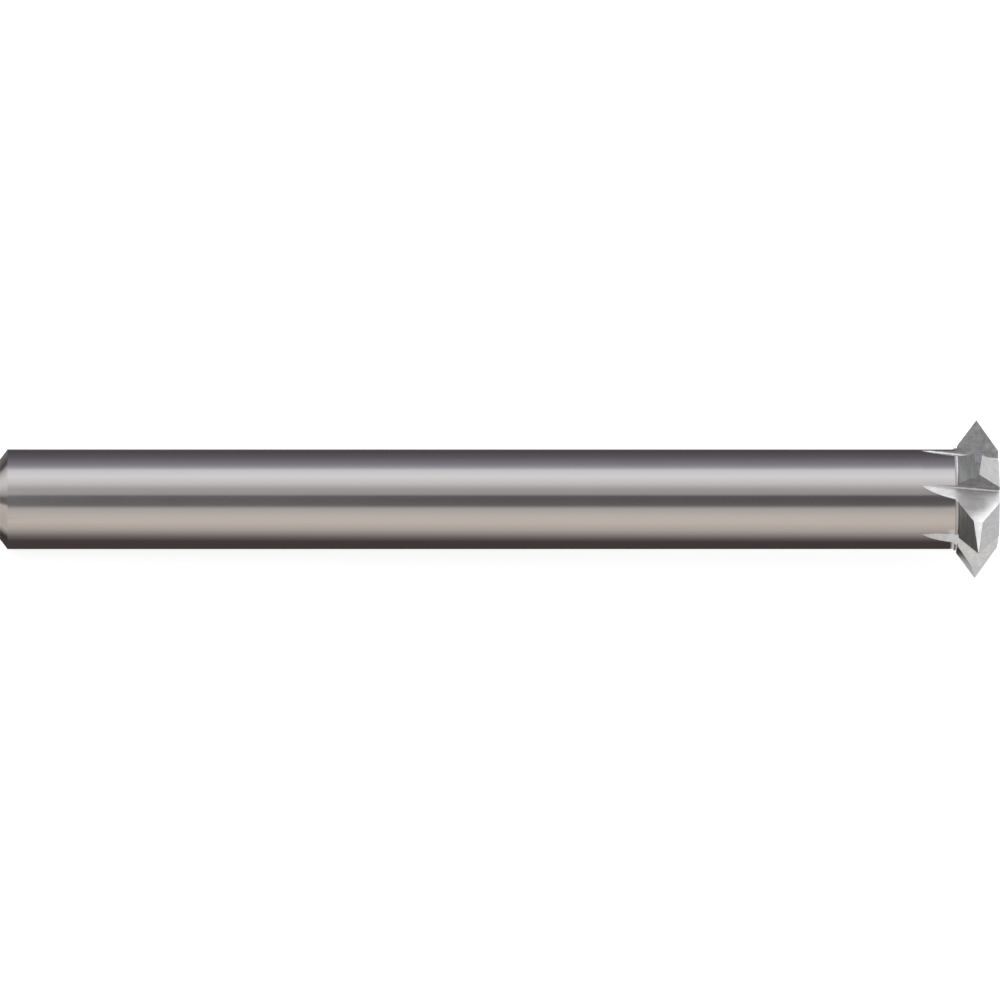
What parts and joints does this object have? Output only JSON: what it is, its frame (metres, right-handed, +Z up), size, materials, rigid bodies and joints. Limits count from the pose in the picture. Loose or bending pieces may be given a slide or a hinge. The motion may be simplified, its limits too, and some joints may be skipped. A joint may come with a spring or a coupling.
{
  "type": "thread mill",
  "caption": "Solid carbide thread mill: straight ground shank with a wider head of V-shaped cutting teeth and straight flutes that run out into the shank.",
  "frame": {"origin": "bottom centre of the tool's box as it lies on a table, resting on two tooth tips and the lower rear edge of the shank", "axes": "+X towards the cutting head, +Z up; the tool axis lies in the XZ plane and rises 1.19 degrees towards the head"},
  "size_m": [0.0636, 0.0102, 0.0089],
  "materials": {
    "ground_carbide": "ground solid carbide: polished shank, finely brushed head"
  },
  "bodies": {
    "root": {"thread_mill": "ground_carbide"}
  },
  "joints": []
}
